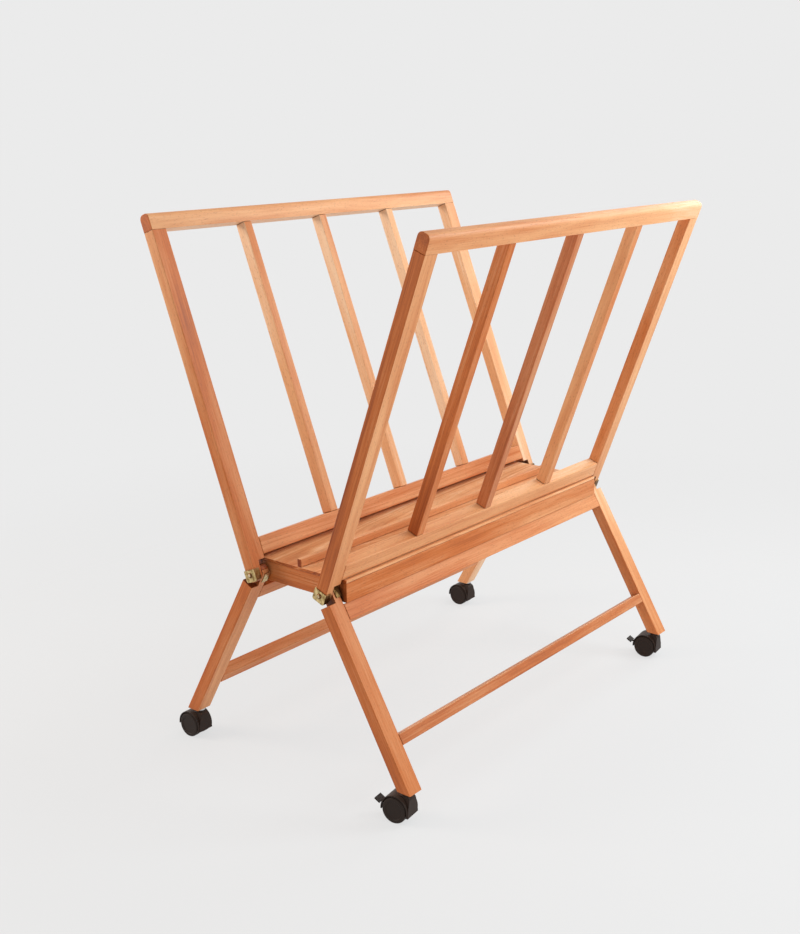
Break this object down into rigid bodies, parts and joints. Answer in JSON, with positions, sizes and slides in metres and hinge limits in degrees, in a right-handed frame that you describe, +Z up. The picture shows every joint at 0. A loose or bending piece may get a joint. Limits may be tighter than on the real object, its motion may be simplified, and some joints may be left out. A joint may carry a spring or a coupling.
{
  "type": "folding print rack",
  "caption": "Folding wooden print rack: two slatted panels lean out in a V over a shallow tray on splayed, castored legs, and hinge inwards to fold.",
  "frame": {"origin": "on the floor under the middle of the tray", "axes": "+X across the rack to its right panel, +Y along the tray to the far end, +Z up"},
  "size_m": [0.6446, 0.8513, 0.9606],
  "materials": {
    "beech": "oiled beech, planed and eased",
    "beech_floor": "oiled beech board, crown cut",
    "brassed_steel": "brass-plated pressed steel",
    "zinc_steel": "zinc-plated turned steel",
    "black_nylon": "moulded black nylon"
  },
  "bodies": {
    "tray": {"tray_floor": "beech_floor", "tray_rib": "beech", "tray_apron_left": "beech", "tray_apron_right": "beech", "tray_end_near": "beech", "tray_end_far": "beech", "left_pivot_pin_near": "brassed_steel", "left_pivot_pin_far": "brassed_steel", "right_pivot_pin_near": "brassed_steel", "right_pivot_pin_far": "brassed_steel"},
    "left_panel": {"left_post_near": "beech", "left_post_far": "beech", "left_top_rail": "beech", "left_bottom_rail": "beech", "left_slat_1": "beech", "left_slat_2": "beech", "left_slat_3": "beech", "left_post_clip_near": "brassed_steel", "left_post_clip_far": "brassed_steel"},
    "left_leg_frame": {"left_leg_near": "beech", "left_leg_far": "beech", "left_leg_rail": "beech", "left_stretcher": "beech", "left_leg_clip_near": "brassed_steel", "castor_left_near_stem": "zinc_steel", "left_leg_clip_far": "brassed_steel", "castor_left_far_stem": "zinc_steel"},
    "right_panel": {"right_post_near": "beech", "right_post_far": "beech", "right_top_rail": "beech", "right_bottom_rail": "beech", "right_slat_1": "beech", "right_slat_2": "beech", "right_slat_3": "beech", "right_post_clip_near": "brassed_steel", "right_post_clip_far": "brassed_steel"},
    "right_leg_frame": {"right_leg_near": "beech", "right_leg_far": "beech", "right_leg_rail": "beech", "right_stretcher": "beech", "right_leg_clip_near": "brassed_steel", "castor_right_near_stem": "zinc_steel", "right_leg_clip_far": "brassed_steel", "castor_right_far_stem": "zinc_steel"},
    "castor_left_near": {"castor_left_near_hood": "black_nylon"},
    "castor_left_near_wheel_near": {"castor_left_near_wheel_near": "black_nylon"},
    "castor_left_near_wheel_far": {"castor_left_near_wheel_far": "black_nylon"},
    "castor_left_far": {"castor_left_far_hood": "black_nylon"},
    "castor_left_far_wheel_near": {"castor_left_far_wheel_near": "black_nylon"},
    "castor_left_far_wheel_far": {"castor_left_far_wheel_far": "black_nylon"},
    "castor_right_near": {"castor_right_near_hood": "black_nylon"},
    "castor_right_near_wheel_near": {"castor_right_near_wheel_near": "black_nylon"},
    "castor_right_near_wheel_far": {"castor_right_near_wheel_far": "black_nylon"},
    "castor_right_near_brake": {"castor_right_near_brake": "black_nylon"},
    "castor_right_far": {"castor_right_far_hood": "black_nylon"},
    "castor_right_far_wheel_near": {"castor_right_far_wheel_near": "black_nylon"},
    "castor_right_far_wheel_far": {"castor_right_far_wheel_far": "black_nylon"},
    "castor_right_far_brake": {"castor_right_far_brake": "black_nylon"}
  },
  "joints": [
    {"name": "left_panel_fold", "type": "hinge", "parent": "tray", "child": "left_panel", "pos_m": [-0.0815, 0, 0.354], "axis": [0, 1, 0], "range_deg": [0, 26]},
    {"name": "left_leg_fold", "type": "hinge", "parent": "tray", "child": "left_leg_frame", "pos_m": [-0.0815, 0, 0.354], "axis": [0, -1, 0], "range_deg": [0, 30]},
    {"name": "right_panel_fold", "type": "hinge", "parent": "tray", "child": "right_panel", "pos_m": [0.0815, 0, 0.354], "axis": [0, -1, 0], "range_deg": [0, 26]},
    {"name": "right_leg_fold", "type": "hinge", "parent": "tray", "child": "right_leg_frame", "pos_m": [0.0815, 0, 0.354], "axis": [0, 1, 0], "range_deg": [0, 30]},
    {"name": "castor_left_near_swivel", "type": "hinge", "parent": "left_leg_frame", "child": "castor_left_near", "pos_m": [-0.24884, -0.4045, 0.0555], "axis": [0, 0, 1], "continuous": true},
    {"name": "castor_left_near_wheel_near_spin", "type": "hinge", "parent": "castor_left_near", "child": "castor_left_near_wheel_near", "pos_m": [-0.26483, -0.40506, 0.0225], "axis": [-0.0349, 0.9994, 0], "continuous": true},
    {"name": "castor_left_near_wheel_far_spin", "type": "hinge", "parent": "castor_left_near", "child": "castor_left_near_wheel_far", "pos_m": [-0.26483, -0.40506, 0.0225], "axis": [-0.0349, 0.9994, 0], "continuous": true},
    {"name": "castor_left_far_swivel", "type": "hinge", "parent": "left_leg_frame", "child": "castor_left_far", "pos_m": [-0.24884, 0.4045, 0.0555], "axis": [0, 0, 1], "continuous": true},
    {"name": "castor_left_far_wheel_near_spin", "type": "hinge", "parent": "castor_left_far", "child": "castor_left_far_wheel_near", "pos_m": [-0.26483, 0.40394, 0.0225], "axis": [-0.0349, 0.9994, 0], "continuous": true},
    {"name": "castor_left_far_wheel_far_spin", "type": "hinge", "parent": "castor_left_far", "child": "castor_left_far_wheel_far", "pos_m": [-0.26483, 0.40394, 0.0225], "axis": [-0.0349, 0.9994, 0], "continuous": true},
    {"name": "castor_right_near_swivel", "type": "hinge", "parent": "right_leg_frame", "child": "castor_right_near", "pos_m": [0.24884, -0.4045, 0.0555], "axis": [0, 0, 1], "continuous": true},
    {"name": "castor_right_near_wheel_near_spin", "type": "hinge", "parent": "castor_right_near", "child": "castor_right_near_wheel_near", "pos_m": [0.233, -0.40673, 0.0225], "axis": [-0.1392, 0.9903, 0], "continuous": true},
    {"name": "castor_right_near_wheel_far_spin", "type": "hinge", "parent": "castor_right_near", "child": "castor_right_near_wheel_far", "pos_m": [0.233, -0.40673, 0.0225], "axis": [-0.1392, 0.9903, 0], "continuous": true},
    {"name": "castor_right_near_brake_press", "type": "hinge", "parent": "castor_right_near", "child": "castor_right_near_brake", "pos_m": [0.21616, -0.40909, 0.0275], "axis": [0.1392, -0.9903, 0], "range_deg": [0, 10]},
    {"name": "castor_right_far_swivel", "type": "hinge", "parent": "right_leg_frame", "child": "castor_right_far", "pos_m": [0.24884, 0.4045, 0.0555], "axis": [0, 0, 1], "continuous": true},
    {"name": "castor_right_far_wheel_near_spin", "type": "hinge", "parent": "castor_right_far", "child": "castor_right_far_wheel_near", "pos_m": [0.233, 0.40227, 0.0225], "axis": [-0.1392, 0.9903, 0], "continuous": true},
    {"name": "castor_right_far_wheel_far_spin", "type": "hinge", "parent": "castor_right_far", "child": "castor_right_far_wheel_far", "pos_m": [0.233, 0.40227, 0.0225], "axis": [-0.1392, 0.9903, 0], "continuous": true},
    {"name": "castor_right_far_brake_press", "type": "hinge", "parent": "castor_right_far", "child": "castor_right_far_brake", "pos_m": [0.21616, 0.39991, 0.0275], "axis": [0.1392, -0.9903, 0], "range_deg": [0, 10]}
  ]
}
